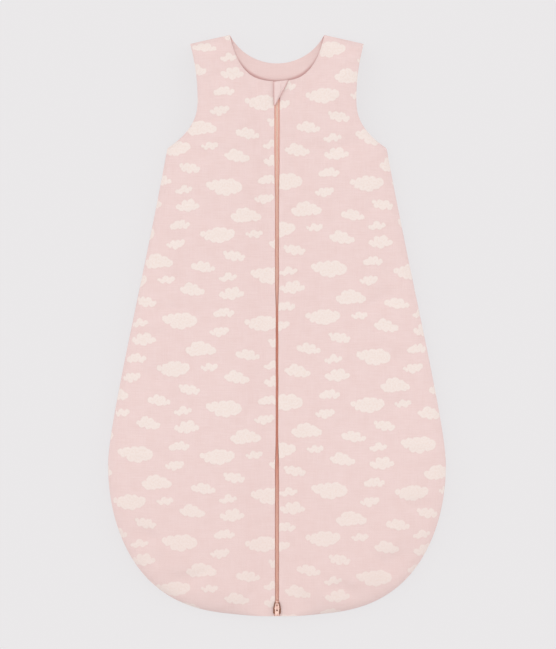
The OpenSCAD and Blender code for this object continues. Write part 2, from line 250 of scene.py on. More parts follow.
def cloud_puffs(half, draw):
    """Circles that make one cloud: puffs by turns higher and lower, which taper to both ends."""
    count, fat = next((number, share) for limit, number, share in PUFF_COUNTS if half < limit)
    slant, lean = draw.uniform(-CLOUD_SLANT, CLOUD_SLANT), draw.uniform(-CLOUD_LEAN, CLOUD_LEAN)
    crown = draw.choice((-CLOUD_CROWN, CLOUD_CROWN))
    puffs = []
    for k in range(count):
        t = -1 + 2 * k / (count - 1)
        size = half * fat * (1 - PUFF_TAPER * min(1, (t - lean) ** 2)) * draw.uniform(*PUFF_SIZES)
        x = half * (PUFF_SPREAD * t + draw.uniform(-PUFF_DRIFT_X, PUFF_DRIFT_X))
        rise = PUFF_STEP * (-1) ** k * (1 - PUFF_STEP_TAPER * t * t) + crown * (1 - 2 * t * t) + slant * t
        puffs.append((x, half * (rise + draw.uniform(-PUFF_DRIFT_Y, PUFF_DRIFT_Y)), size))
    heart_x = half * (lean + draw.uniform(-HEART_DRIFT, HEART_DRIFT))
    puffs.append((heart_x, half * slant * lean, half * HEART_SIZE))
    return puffs


def turned(cloth, vector, angle):
    return cloth.node("VectorRotate", {"rotation_type": "Z_AXIS"}, {"Vector": vector, "Angle": angle})


def cloud_edge(cloth, point):
    """Distance to the edge of the nearest cloud in millimetres, below 0 inside it."""
    draw = np.random.default_rng(PRINT_SEED + 1)
    nearest = None
    half_tile = (TILE[0] / 2, TILE[1] / 2, 1)
    for (x, y), half in cloud_places():
        away = cloth.vectors("SUBTRACT", point, (x, y, 0))
        away = turned(cloth, away, -TILE_TURN)
        away = cloth.vectors("WRAP", away, half_tile, tuple(-side for side in half_tile))
        away = turned(cloth, away, TILE_TURN)
        for puff_x, puff_y, radius in cloud_puffs(half, draw):
            sockets = {0: away, 1: (puff_x, puff_y, 0)}
            reach = cloth.node("VectorMath", {"operation": "DISTANCE"}, sockets, out=1) - radius
            nearest = reach if nearest is None else cloth.maths("MINIMUM", nearest, reach)
    return nearest


# Jersey: how finely its threads and loops repeat across and along the cloth, and how much they show
SLUB_ROWS, SLUB_COLUMNS, KNIT_LOOPS = (0.05, 0.9, 1), (0.9, 0.04, 1), (1.1, 0.8, 1)
ROW_SHARE, COLUMN_SHARE = 0.6, 0.4
SLUB_RANGE = (0.3, 0.7)
KNIT_H, CLOTH_RELIEF = 0.5, 0.25 * MM


def jersey(name, roughness):
    """A new cloth, the place on it cut flat in millimetres, its uneven threads and its fine knit."""
    cloth = Finish(name, Roughness=roughness, Sheen_Weight=0.12, Sheen_Roughness=0.5,
                   Specular_IOR_Level=0.2)
    flat = cloth.node("UVMap", {"uv_map": "flat_cloth"})
    point = cloth.node("VectorMath", {"operation": "SCALE"}, {0: flat, "Scale": 1 / MM})
    rows, columns, loops = (cloth.vectors("MULTIPLY", point, steps)
                            for steps in (SLUB_ROWS, SLUB_COLUMNS, KNIT_LOOPS))
    slub = ROW_SHARE * cloth.noise(rows, 1.0) + COLUMN_SHARE * cloth.noise(columns, 1.0)
    return cloth, point, slub, cloth.noise(loops, 1.0, 1.0)


def lengthwise(finish):
    """Place along the bag in metres, from the hem up."""
    return finish.node("SeparateXYZ", {}, {0: finish.place()}, out="Y")


# Print on the jersey: sizes in millimetres, and how much each effect shows
PRINT_ROUGH = 0.86
WOBBLE_SCALE, WOBBLE = 0.35, 2.4
CLOUD_SOFT, CLOUD_HEART = (-0.9, 1.0), (-3.5, -0.8)
RIM_IN, RIM_OUT = (-1.0, -0.1), (0.3, 1.6)
BLOTCH_SCALE, MOTTLE_SCALE, BLOTCH_RANGE = 0.07, 0.45, (0.35, 0.7)
SLUB_SHOWS, BLOTCH_SHOWS, RIM_SHOWS, HEART_SHOWS, FOOT_SHADE_SHOWS = 0.45, 0.2, 0.3, 0.6, 0.22
SLUB_H, CLOUD_H = 0.7, 0.5
# Painted shade towards the foot of the bag: full below the first level and none above the second
FOOT_SHADE_FULL_Y, FOOT_SHADE_NONE_Y = -330 * MM, -100 * MM
PINK = colour(238, 214, 211)
PINK_DEEP = colour(230, 201, 196)
CREAM = colour(242, 228, 222)
CREAM_WARM = colour(239, 222, 214)


def printed_jersey():
    cloth, point, slub, knit = jersey("cloud_print_jersey", PRINT_ROUGH)
    wobble = cloth.node("TexNoise", {}, {"Vector": point, "Scale": WOBBLE_SCALE, "Detail": 1.0}, out=1)
    wobble = cloth.vectors("SUBTRACT", wobble, (0.5, 0.5, 0.5))
    wobble = cloth.vectors("MULTIPLY", wobble, (WOBBLE, WOBBLE, 0))
    edge = cloud_edge(cloth, cloth.vectors("ADD", point, wobble))
    cloud = 1 - cloth.ramp(edge, *CLOUD_SOFT)
    rim = cloth.ramp(edge, *RIM_IN) * (1 - cloth.ramp(edge, *RIM_OUT))
    blotch = cloth.ramp(cloth.noise(point, BLOTCH_SCALE, 3.0), *BLOTCH_RANGE)
    ground = cloth.ramp(slub, *SLUB_RANGE) * SLUB_SHOWS + blotch * BLOTCH_SHOWS
    ground = cloth.tint(rim * RIM_SHOWS, cloth.tint(ground, PINK, PINK_DEEP), PINK_DEEP)
    mottle = cloth.ramp(cloth.noise(point, MOTTLE_SCALE), *BLOTCH_RANGE)
    inside = 1 - cloth.ramp(edge, *CLOUD_HEART) * HEART_SHOWS
    motif = cloth.tint(mottle * inside, CREAM, CREAM_WARM)
    # Painted shade: the print goes towards a deeper pink near the foot of the bag
    painted_foot_shade = 1 - cloth.ramp(lengthwise(cloth), FOOT_SHADE_FULL_Y, FOOT_SHADE_NONE_Y)
    base = cloth.tint(painted_foot_shade * FOOT_SHADE_SHOWS, cloth.tint(cloud, ground, motif), PINK_DEEP)
    height = knit * KNIT_H + slub * SLUB_H + cloud * CLOUD_H
    return cloth.finish(Base_Color=base, Normal=cloth.bump(height, CLOTH_RELIEF))


PLAIN_ROUGH, PLAIN_SLUB_SHOWS, PLAIN_SLUB_H = 0.88, 0.4, 0.6
LINING_PINK = colour(236, 210, 206)
LINING_DEEP = colour(230, 199, 195)
# A darker pink painted as shade: on the back's lining under the front's neck edge, and along the chin
# guard's edges
PAINTED_SHADE_PINK = colour(210, 168, 165)
# Radius of the front's neck edge round the middle of the top, and the width over which the painted shade
# under it fades in
NECK_R = 57.2 * MM
NECK_SHADE_W = 4.2 * MM


def neck_painted_shade(cloth):
    """Painted shade: 1 where the back's lining goes in under the front's neck edge, which is nearly a
    circle, standing in for that edge's shadow.
    """
    away = cloth.vectors("SUBTRACT", cloth.place(), (0, TOP_Y, 0))
    away = cloth.vectors("MULTIPLY", away, (1, 1, 0))
    reach = cloth.node("VectorMath", {"operation": "LENGTH"}, {0: away}, out=1)
    return cloth.ramp(reach, NECK_R - NECK_SHADE_W, NECK_R)


def marked_edge_shade(cloth):
    """Painted shade: 1 along the edges that a piece of cloth with a fold marks on its own mesh, standing in
    for the shade along those edges.
    """
    return cloth.node("Attribute", {"attribute_name": "folded_edge"}, out=2)


def plain_jersey(name, light, deep, painted_shade=None):
    cloth, _, slub, knit = jersey(name, PLAIN_ROUGH)
    base = cloth.tint(cloth.ramp(slub, *SLUB_RANGE) * PLAIN_SLUB_SHOWS, light, deep)
    # Painted shade: darker pink where the given mask is 1
    if painted_shade:
        base = cloth.tint(painted_shade(cloth), base, PAINTED_SHADE_PINK)
    height = knit * KNIT_H + slub * PLAIN_SLUB_H
    return cloth.finish(Base_Color=base, Normal=cloth.bump(height, CLOTH_RELIEF))


# Coral of the zip: the tape's and the coil's own tones, and darker tones that the chain takes as painted
# shade
CORAL_TAPE = colour(250, 202, 188)
CORAL_TAPE_DEEP = colour(238, 186, 172)
CORAL_TAPE_PAINTED_SHADE = colour(196, 126, 112)
CORAL_COIL = colour(255, 226, 211)
CORAL_COIL_DEEP = colour(255, 216, 199)
CORAL_COIL_PAINTED_SHADE = colour(228, 150, 128)
# Where along the bag the chain's painted shade fades in and out, and how much of it each stretch takes
SHADE_TOP = (80 * MM, 250 * MM)
SHADE_HIGH = (0, 50 * MM)
SHADE_LOW = (-235 * MM, -135 * MM)
SHADE_FOOT = (-230 * MM, -170 * MM)
UPPER_SHADE, MIDDLE_SHADE, FOOT_SHADE = 0.36, 0.64, 0.16


def chain_painted_shade(finish):
    """Share of painted shade on the chain's colour, standing in for the shade of the groove between the
    fronts: least at the neck end and most along the middle of the bag.
    """
    y = lengthwise(finish)
    middle = finish.ramp(y, *SHADE_LOW) * (1 - finish.ramp(y, *SHADE_HIGH))
    painted_foot_shade = 1 - finish.ramp(y, *SHADE_FOOT)
    return UPPER_SHADE * (1 - finish.ramp(y, *SHADE_TOP)) + MIDDLE_SHADE * middle + FOOT_SHADE * painted_foot_shade


# Threads of the tape: their direction, how fine they are and how uneven
TAPE_PICKS, TAPE_ENDS = ("Y", 260.0, 1.0), ("X", 330.0, 0.6)
TAPE_RELIEF = 0.12 * MM
COIL_MOTTLE_SCALE = 700.0
COIL_ROUGH, COIL_MOTTLE_ROUGH = 0.38, 0.12


def threads(tape, direction, scale, uneven):
    settings = {"wave_type": "BANDS", "bands_direction": direction}
    return tape.node("TexWave", settings, {"Vector": tape.place(), "Scale": scale, "Distortion": uneven})


def woven_tape():
    tape = Finish("woven_coral_tape", Roughness=0.8, Specular_IOR_Level=0.25)
    weave = threads(tape, *TAPE_PICKS) * threads(tape, *TAPE_ENDS)
    # Painted shade: the tape goes towards a darker coral along the middle and the foot of the zip
    base = tape.tint(chain_painted_shade(tape), tape.tint(weave, CORAL_TAPE_DEEP, CORAL_TAPE), CORAL_TAPE_PAINTED_SHADE)
    return tape.finish(Base_Color=base, Normal=tape.bump(weave, TAPE_RELIEF))


def coil_nylon():
    nylon = Finish("coral_coil_nylon", Specular_IOR_Level=0.5)
    uneven = nylon.ramp(nylon.noise(nylon.place(), COIL_MOTTLE_SCALE), *BLOTCH_RANGE)
    # Painted shade: the coil goes towards a darker coral along the middle and the foot of the zip
    base = nylon.tint(chain_painted_shade(nylon), nylon.tint(uneven, CORAL_COIL, CORAL_COIL_DEEP), CORAL_COIL_PAINTED_SHADE)
    return nylon.finish(Base_Color=base, Roughness=COIL_ROUGH + uneven * COIL_MOTTLE_ROUGH)


ROSE = colour(238, 204, 192)
ROSE_DULL = colour(222, 180, 166)
# Darker copies of the rose plating, as painted shade on the slider's body
ROSE_PAINTED_SHADE = colour(134, 90, 70)
ROSE_PAINTED_SHADE_DULL = colour(110, 69, 53)
SMEAR_SCALE, SMEAR_RANGE, SMEAR_SHOWS = 420.0, (0.35, 0.75), 0.5
SCRATCH_STEPS, SCRATCH_RELIEF = (2600, 300, 2600), 0.01 * MM
METAL_ROUGH, SMEAR_ROUGH = 0.42, 0.14


def plating(name, bright, dull):
    metal = Finish(name, Metallic=1.0)
    smear = metal.ramp(metal.noise(metal.place(), SMEAR_SCALE, 3.0), *SMEAR_RANGE)
    scratch = metal.noise(metal.vectors("MULTIPLY", metal.place(), SCRATCH_STEPS), 1.0)
    base = metal.tint(smear * SMEAR_SHOWS, bright, dull)
    return metal.finish(Base_Color=base, Roughness=METAL_ROUGH + smear * SMEAR_ROUGH,
                        Normal=metal.bump(scratch, SCRATCH_RELIEF))


def quarter_round(distance, width):
    """0 at an edge, rising like a quarter of an ellipse to 1 at the width."""
    share = np.clip(distance / width, 0, 1)
    return np.sqrt(1 - (1 - share) ** 2)


def fade(distance, width):
    """1 up to the start, falling in a smooth wave to 0 over the width."""
    return (1 + np.cos(np.pi * np.clip(distance / width, 0, 1))) / 2


def bezier(corners, count=160):
    t = np.linspace(0, 1, count)[:, None]
    a, b, c, d = (np.array(corner) for corner in corners)
    return (1 - t) ** 3 * a + 3 * (1 - t) ** 2 * t * b + 3 * (1 - t) * t ** 2 * c + t ** 3 * d


def straight(a, b):
    return np.array([a, b], float)


def line_length(line):
    return float(np.linalg.norm(np.diff(line, axis=0), axis=1).sum())


def along(line, shares):
    """Points at shares of a line's length."""
    steps = np.linalg.norm(np.diff(line, axis=0), axis=1)
    reached = np.concatenate([[0], np.cumsum(steps)]) / steps.sum()
    return np.stack([np.interp(shares, reached, line[:, k]) for k in (0, 1)], axis=-1)


TOUCHING = 0.005 * MM


def line_distance(points, line):
    """Least distance from each plan point to a line."""
    least = np.full(points.shape[:-1], np.inf)
    for a, b in zip(line[:-1], line[1:]):
        run = b - a
        share = np.clip(((points - a) @ run) / max(run @ run, 1e-18), 0, 1)
        gap = np.linalg.norm(points - (a + share[..., None] * run), axis=-1)
        least = np.minimum(least, gap)
    return np.where(least < TOUCHING, 0, least)


def foot_curve(first, last, count=120):
    angle = np.linspace(first, last, count)
    x = HIP_HALF * np.clip(np.cos(angle), 0, 1) ** (2 / HEM_POWER)
    y = HIP_Y - FOOT_RISE * np.clip(np.sin(angle), 0, 1) ** (2 / FOOT_POWER)
    return np.stack([x, y], axis=-1)


def armhole_curve(first, last, count=60):
    y = np.linspace(first, last, count)
    low = np.clip((CHEST_Y - y) / (CHEST_Y - UNDERARM_Y), 0, 1) ** ARMHOLE_POWER
    high = np.clip((y - CHEST_Y) / (TIP_Y - CHEST_Y), 0, 1) ** 2
    x = CHEST_HALF + (UNDERARM_HALF - CHEST_HALF) * low + (TIP_HALF - CHEST_HALF) * high
    return np.stack([x, y], axis=-1)


whole_hem = foot_curve(math.pi / 2, CORNER_ANGLE)
foot_line = foot_curve(CORNER_ANGLE, 0)
side_h = UNDERARM_Y - HIP_Y
side_line = bezier([(HIP_HALF, HIP_Y), (HIP_HALF, HIP_Y + SIDE_PULL_HIP * side_h),
                    (UNDERARM_HALF + SIDE_LEAN, UNDERARM_Y - SIDE_PULL_TOP * side_h),
                    (UNDERARM_HALF, UNDERARM_Y)])
arm_split_y = UNDERARM_Y + ARM_SPLIT * (TIP_Y - UNDERARM_Y)
arm_low_line = armhole_curve(UNDERARM_Y, arm_split_y)
arm_high_line = armhole_curve(arm_split_y, TIP_Y)
shoulder_line = straight((NECK_HALF, TOP_Y), (TIP_HALF, TIP_Y))
seam_line = np.concatenate([whole_hem, foot_line[1:], side_line[1:]])
outer_line = np.concatenate([seam_line, arm_low_line[1:], arm_high_line[1:]])
front_neck_line = bezier([(SLIT_HALF, FRONT_NECK_Y), (NECK_PULL_LOW * NECK_HALF, FRONT_NECK_Y),
                          (NECK_PULL_HIGH * NECK_HALF, TOP_Y - NECK_PULL_DROP * FRONT_NECK_DROP),
                          (NECK_HALF, TOP_Y)])
back_neck_r = (NECK_HALF ** 2 + BACK_NECK_DROP ** 2) / (2 * BACK_NECK_DROP)
back_neck_turn = np.linspace(0, math.asin(NECK_HALF / back_neck_r), BACK_NECK_POINTS)
back_neck_line = np.stack([back_neck_r * np.sin(back_neck_turn),
                           BACK_NECK_Y + back_neck_r * (1 - np.cos(back_neck_turn))], axis=-1)


def spaced(length, fine_start=True, fine_end=True, count=None):
    """Shares of a line's length in a number of cells or in cells of the usual size, finer at its ends."""
    near = EDGE_STEPS / length
    low, high = near[-1] if fine_start else 0, 1 - near[-1] if fine_end else 1
    cells = count - 2 * (len(near) - 1) if count else max(LEAST_CELLS, round((high - low) * length / CELL))
    return np.concatenate([near[:-1] if fine_start else [], np.linspace(low, high, cells + 1),
                           1 - near[-2::-1] if fine_end else []])


def panel_plan(front, columns):
    """Plan of the right half of a panel, row by row from the hem to the shoulder."""
    inner_x = SLIT_HALF if front else 0.0
    neck_y = FRONT_NECK_Y if front else BACK_NECK_Y
    hem_line = np.concatenate([[[inner_x, HEM_Y]], whole_hem[whole_hem[:, 0] > inner_x + HEM_JOIN]])
    hip_row = straight((inner_x, HIP_Y), (HIP_HALF, HIP_Y))
    rows = []
    for v in spaced(FOOT_RISE, fine_end=False):
        length = (1 - v) * line_length(hem_line) + v * line_length(hip_row)
        u = spaced(length, count=columns)[:, None]
        left = np.array([inner_x, HEM_Y + v * FOOT_RISE])
        right = along(foot_line, np.array([v]))[0]
        low, high = along(hem_line, u[:, 0]), along(hip_row, u[:, 0])
        flat = ((1 - v) * ((1 - u) * low[0] + u * low[-1]) + v * ((1 - u) * high[0] + u * high[-1]))
        rows.append((1 - v) * low + v * high + (1 - u) * left + u * right - flat)
    neck_line = front_neck_line if front else back_neck_line
    stretches = [(straight((inner_x, HIP_Y), (inner_x, UNDERARM_Y)), side_line, False),
                 (straight((inner_x, UNDERARM_Y), (inner_x, neck_y)), arm_low_line, False),
                 (neck_line, arm_high_line, True)]
    for inner, outer, last in stretches:
        shares = spaced(max(line_length(inner), line_length(outer)), False, last)[1:]
        for a, b in zip(along(inner, shares), along(outer, shares)):
            u = spaced(float(np.linalg.norm(b - a)), count=columns)[:, None]
            rows.append(a + u * (b - a))
    return np.array(rows)


def edge_reach(plan, front):
    neck = front_neck_line if front else back_neck_line
    return {"outer": line_distance(plan, outer_line), "shoulder": line_distance(plan, shoulder_line),
            "neck": line_distance(plan, neck)}


def sewn_side(plan):
    """1 along the side seams, falling to 0 up the armholes."""
    return fade(plan[..., 1] - UNDERARM_Y + UNDERARM_START, UNDERARM_FADE)


def opening(plan, reach, strip=0.0):
    """How far the inside is open: 0 in a seam and the strip beside it, 1 in the middle and at armholes."""
    side = 1 - sewn_side(plan) * (1 - quarter_round(reach["outer"] - strip, SWELL_W))
    return np.minimum(side, quarter_round(reach["shoulder"] - strip, SHOULDER_SWELL_W))


def off_free_edges(plan, reach):
    """0 at the neck and armhole edges, where the two faces of a panel meet, and 1 elsewhere."""
    arm = 1 - (1 - sewn_side(plan)) * (1 - quarter_round(reach["outer"], SEAM_STRIP))
    return arm * quarter_round(reach["neck"], SEAM_STRIP)


def edge_loft(plan, reach):
    """How full the padding is: 0 at every edge, 1 in the middle."""
    outer_w = EDGE_SWELL_W + (SWELL_W - EDGE_SWELL_W) * sewn_side(plan)
    return (quarter_round(reach["outer"], outer_w) * quarter_round(reach["neck"], EDGE_SWELL_W)
            * quarter_round(reach["shoulder"], SHOULDER_SWELL_W))


UNEVEN_LENGTHS = (0.14, 0.09, 0.06, 0.04)
UNEVEN_WAVES, UNEVEN_SCALE = 3, 4
FRONT_UNEVEN = 0.07


def unevenness(plan, seed):
    """Slow seeded waves, from about -1 to 1."""
    draw = np.random.default_rng(seed)
    total = np.zeros(plan.shape[:-1])
    for length in UNEVEN_LENGTHS:
        for _ in range(UNEVEN_WAVES):
            turn, start = draw.uniform(0, 2 * math.pi, 2)
            across = plan[..., 0] * math.cos(turn) + plan[..., 1] * math.sin(turn)
            total += np.sin(across * 2 * math.pi / length + start) * length / UNEVEN_LENGTHS[0]
    return total / UNEVEN_SCALE


def zip_middle(y):
    """1 along the middle of the zip, where the fronts nearly close over the coils."""
    return fade(LEAN_LOW_Y - y, LEAN_FADE) * fade(y - LEAN_HIGH_Y, LEAN_FADE)


def coil_ride(plan):
    """1 where a front's zip edge lies on the coil, falling to 0 beside it."""
    over = np.minimum(1, 2 * zip_middle(plan[..., 1]))
    return over * fade(plan[..., 0] - SLIT_HALF, COIL_RIDE_W)


def lean_in(plan, seed):
    """Draws a front's zip edge in over the tape, unevenly, most along the middle and least at both ends."""
    x, y = plan[..., 0], plan[..., 1]
    middle = zip_middle(y)
    draw = np.random.default_rng(seed)
    wave = sum(np.sin(y * 2 * math.pi / length + draw.uniform(0, 2 * math.pi)) for length in LEAN_WAVES)
    chain = fade(CHAIN_LOW_Y - y, CHAIN_LOW_FADE) * fade(y - CHAIN_HIGH_Y, CHAIN_HIGH_FADE)
    lean = LEAN_LEAST + LEAN_CHAIN * chain + LEAN_MIDDLE * middle + LEAN_WAVE * wave / len(LEAN_WAVES)
    return np.stack([x - lean * fade(x - SLIT_HALF, LEAN_W), y], axis=-1)


def front_underside(plan, reach, strip=0.0):
    """Lower face of a front below the tape's level: held up along the zip, with a droop beside the neck."""
    x = plan[..., 0]
    ridge = fade(x - RIDGE_HALF, RIDGE_FADE)
    opened = opening(plan, reach, strip)
    shut = (1 - ridge) * (1 - opened)
    loose = 1 - fade(x - TAPE_HALF, ZIP_HOLD_FADE)
    return (SEAM_Z + SEAM_GAP - SEAM_LAP * shut + FRONT_RISE * (1 - shut)
            - NECK_DROOP * fade(reach["neck"], NECK_DROOP_W) * loose * opened)


def tape_lift(plan):
    """How far the tape, and the coil where the edge lies on it, hold a front up."""
    return TAPE_LIFT * fade(plan[..., 0] - TAPE_HALF, TAPE_FADE) + COIL_RIDE * coil_ride(plan)


def front_levels(plan, seed):
    """Lower and upper face of a padded front."""
    reach = edge_reach(plan, True)
    pressed = front_underside(plan, reach, SEAM_STRIP)
    filling = (front_underside(plan, reach) - pressed) * off_free_edges(plan, reach)
    lower = pressed + tape_lift(plan)
    from_zip = plan[..., 0] - SLIT_HALF
    puff = 1 - fade(from_zip - STRIP_W, ZIP_SWELL_W)
    strip = STRIP_T * quarter_round(from_zip, STRIP_ROUND) * (1 - RIDE_THIN * coil_ride(plan))
    loft = strip + (PAD_T - STRIP_T) * puff
    loft = loft * (1 + FRONT_UNEVEN * unevenness(plan, seed) * puff) * edge_loft(plan, reach)
    return lower, lower + filling + loft


def back_inside(plan, reach, strip=0.0):
    """Inner face of the back: up at the seams, with a ridge at the zip's hem end, low at free edges."""
    opened = opening(plan, reach, strip)
    ridge = fade(plan[..., 0] - RIDGE_HALF, RIDGE_FADE)
    free = np.maximum(fade(reach["neck"], BACK_DROP_W),
                      fade(reach["outer"], BACK_DROP_W) * (1 - sewn_side(plan)))
    return (SEAM_Z - SEAM_GAP + (SEAM_LAP + FRONT_RISE * ridge) * (1 - opened)
            - (BACK_FALL + BACK_DROP * free) * opened)


def back_levels(plan):
    """Lower and upper face of the padded back, which lies on the floor."""
    reach = edge_reach(plan, False)
    pressed = back_inside(plan, reach, SEAM_STRIP)
    filling = (back_inside(plan, reach) - pressed) * off_free_edges(plan, reach)
    lower = np.maximum(pressed + filling - PAD_T * edge_loft(plan, reach), 0)
    swell = NECK_SWELL * fade(line_distance(plan, front_neck_line), NECK_SWELL_W)
    swell = swell * (1 - fade(reach["neck"], NECK_SWELL_START)) * opening(plan, reach, SEAM_STRIP)
    return lower, pressed + swell


def lift(plan, level):
    return np.concatenate([plan, level[..., None]], axis=-1)


def sided(sign, points):
    """Points of the right half, or the same mirrored to the left half for a sign of -1."""
    return points * np.array([sign] + [1] * (points.shape[-1] - 1))


def flat_cloth(plan, level):
    """Place of each grid point on the flat cut cloth, unrolled from the middle of the panel."""
    surface = lift(plan, level)
    def stretch(axis):
        run = np.diff(surface, axis=axis)
        plain = np.linalg.norm(run[..., :2], axis=-1)
        return np.linalg.norm(run, axis=-1) / np.maximum(plain, 1e-9)
    across = np.diff(plan[..., 0], axis=1) * stretch(1)
    u = plan[:, :1, 0] + np.concatenate([np.zeros((len(plan), 1)), np.cumsum(across, axis=1)], axis=1)
    up = np.diff(plan[..., 1], axis=0) * stretch(0)
    v = np.concatenate([np.zeros((1, plan.shape[1])), np.cumsum(up, axis=0)], axis=0)
    middle = len(plan) // 2
    v = v - v[middle] + plan[middle, :, 1]
    return np.stack([u, v], axis=-1)


def grid_faces(rows, columns, start, flipped):
    index = start + np.arange(rows * columns).reshape(rows, columns)
    faces = np.stack([index[:-1, :-1], index[:-1, 1:], index[1:, 1:], index[1:, :-1]], axis=-1)
    faces = faces.reshape(-1, 4)
    return faces[:, ::-1] if flipped else faces


WELD = 0.001 * MM


def cloth_object(name, grids, material):
    """One mesh from grids of (points, flat cloth, flipped), with the points that coincide welded."""
    points = np.concatenate([g[0].reshape(-1, 3) for g in grids])
    flat = np.concatenate([g[1].reshape(-1, 2) for g in grids])
    faces, start = [], 0
    for place, _, flipped in grids:
        rows, columns = place.shape[:2]
        faces.append(grid_faces(rows, columns, start, flipped))
        start += rows * columns
    faces = np.concatenate(faces)
    keys = np.round(points / WELD).astype(np.int64)
    _, first, welded = np.unique(keys, axis=0, return_index=True, return_inverse=True)
    welded = welded.reshape(-1)
    mesh = bpy.data.meshes.new(name)
    mesh.from_pydata(points[first].tolist(), [], welded[faces].tolist())
    mesh.uv_layers.new(name="flat_cloth").data.foreach_set("uv", flat[faces].astype(np.float32).ravel())
    mesh.polygons.foreach_set("use_smooth", np.ones(len(faces), bool))
    mesh.materials.append(material)
    mesh.validate()
    made = bpy.data.objects.new(name, mesh)
    scene.collection.objects.link(made)
    return made, welded


def deselect():
    """Leaves nothing selected, out of edit mode."""
    if bpy.context.object and bpy.context.object.mode != "OBJECT":
        bpy.ops.object.mode_set(mode="OBJECT")
    bpy.ops.object.select_all(action="DESELECT")


def only(obj):
    """Leaves one object selected and active."""
    deselect()
    obj.select_set(True)
    bpy.context.view_layer.objects.active = obj


def apply_modifier(obj, kind, **settings):
    only(obj)
    modifier = obj.modifiers.new(kind.lower(), kind)
    for name, value in settings.items():
        setattr(modifier, name, value)
    bpy.ops.object.modifier_apply(modifier=modifier.name)


def subdivide(obj):
    apply_modifier(obj, "SUBSURF", levels=1, render_levels=1)


def read_points(mesh):
    points = np.zeros(len(mesh.vertices) * 3, np.float32)
    mesh.vertices.foreach_get("co", points)
    return points.reshape(-1, 3).astype(float)


PLUMP_FRAMES = 20
PLUMP_CAP = 3.5 * MM
PLUMP_CLOTH = {"quality": 5, "mass": 0.2, "tension_stiffness": 12, "compression_stiffness": 12,
               "shear_stiffness": 6, "bending_stiffness": 0.4, "use_pressure": True,
               "uniform_pressure_force": 4.0, "shrink_min": -0.012, "vertex_group_mass": "held"}


def plump(obj, ease):
    """Lets a panel's cloth swell and pucker by simulation, no further than the cap times its ease."""
    group = obj.vertex_groups.new(name="held")
    group.add(np.nonzero(ease == 0)[0].tolist(), 1.0, "REPLACE")
    before = read_points(obj.data)
    only(obj)
    cloth = obj.modifiers.new("plump", "CLOTH")
    for name, value in PLUMP_CLOTH.items():
        setattr(cloth.settings, name, value)
    cloth.settings.effector_weights.gravity = 0
    cloth.collision_settings.use_collision = False
    cloth.point_cache.frame_start = 1
    cloth.point_cache.frame_end = PLUMP_FRAMES
    for step in range(1, PLUMP_FRAMES + 1):
        scene.frame_set(step)
    shown = obj.evaluated_get(bpy.context.evaluated_depsgraph_get())
    after = read_points(shown.to_mesh())
    shown.to_mesh_clear()
    obj.modifiers.remove(cloth)
    obj.vertex_groups.clear()
    scene.frame_set(1)
    move = after - before
    far = np.linalg.norm(move, axis=1, keepdims=True)
    move *= ease[:, None] * PLUMP_CAP * np.tanh(far / PLUMP_CAP) / np.maximum(far, 1e-9)
    obj.data.vertices.foreach_set("co", (before + move).astype(np.float32).ravel())
    obj.data.update()


EASE_START, EASE_W = 1 * MM, 28 * MM
PRINT_SHIFT = {"left": (0.0, 0.0), "right": (0.031, 0.047), "back": (0.013, 0.071)}
FRONT_SEEDS = {"left": 3, "right": 8}


def put_on(piece, body, slot, *nodes):
    """Puts a piece on its body in place of its nodes."""
    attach(piece, body)
    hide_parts(*nodes)


def panel_grids(sign, plan, upper, lower, flat):
    """Upper and lower face of one half of a padded panel."""
    return [(sided(sign, lift(plan, level)), flat, flipped)
            for level, flipped in ((upper, sign < 0), (lower, sign > 0))]


def padded_front(side, material):
    sign, seed = SIDES[side], FRONT_SEEDS[side]
    plan = panel_plan(True, FRONT_COLUMNS)
    lower, upper = front_levels(plan, seed)
    flat = sided(sign, flat_cloth(plan, upper)) + np.array(PRINT_SHIFT[side])
    grids = panel_grids(sign, lean_in(plan, seed), upper, lower, flat)
    front, welded = cloth_object(f"front_{side}_quilt", grids, material)
    reach = edge_reach(plan, True)
    inside = np.minimum(np.minimum(reach["outer"], reach["neck"]), reach["shoulder"])
    inside = np.minimum(inside, plan[..., 0] - SLIT_HALF - STRIP_W)
    ease = np.zeros(len(front.data.vertices))
    ease[welded[:inside.size]] = 1 - fade(inside.ravel() - EASE_START, EASE_W)
    plump(front, ease)
    subdivide(front)
    put_on(front, "bag", "outer_cloth", f"front_{side}_shell", f"front_{side}_wadding")
    return plan, lower


def padded_back(material):
    plan = panel_plan(False, BACK_COLUMNS)
    lower, upper = back_levels(plan)
    flat = flat_cloth(plan, lower)
    grids = []
    for sign in (1, -1):
        grids += panel_grids(sign, plan, upper, lower, sided(sign, flat) + np.array(PRINT_SHIFT["back"]))
    back, _ = cloth_object("back_quilt", grids, material)
    subdivide(back)
    put_on(back, "bag", "outer_cloth", "back_shell", "back_wadding")
    return plan, upper


LINING_STEP = PLY_GAP + LINING_T / 2
NECK_PRESS_W = 3 * MM


def lining(node, plan, level, signs, material):
    """A lining that follows the padded panel's inner face, a little inside its edges."""
    # Two halves meet in the middle of the back
    start = LINING_INSET if len(signs) == 1 else 0
    inner = (slice(LINING_INSET, -LINING_INSET), slice(start, -LINING_INSET))
    plan, level = plan[inner], level[inner]
    flat = flat_cloth(plan, level)
    grids = [(sided(sign, lift(plan, level)), sided(sign, flat), sign < 0) for sign in signs]
    made, _ = cloth_object(f"{node}_cloth", grids, material)
    apply_modifier(made, "SOLIDIFY", thickness=LINING_T, offset=0.0)
    put_on(made, "bag", "lining_cloth", node)


TINY = 0.01 * MM
ROD_SIDES = 32
SMOOTH_ANGLE, ROUND_ANGLE = math.radians(40), math.radians(35)
EDGE_ROUND = 0.16 * MM
FACING_UP = 0.9


def settle(piece, name):
    """Names a new piece and applies its place, so that its object sits at the origin."""
    piece.name = piece.data.name = name
    bpy.ops.object.transform_apply(location=True, rotation=True, scale=True)
    return piece


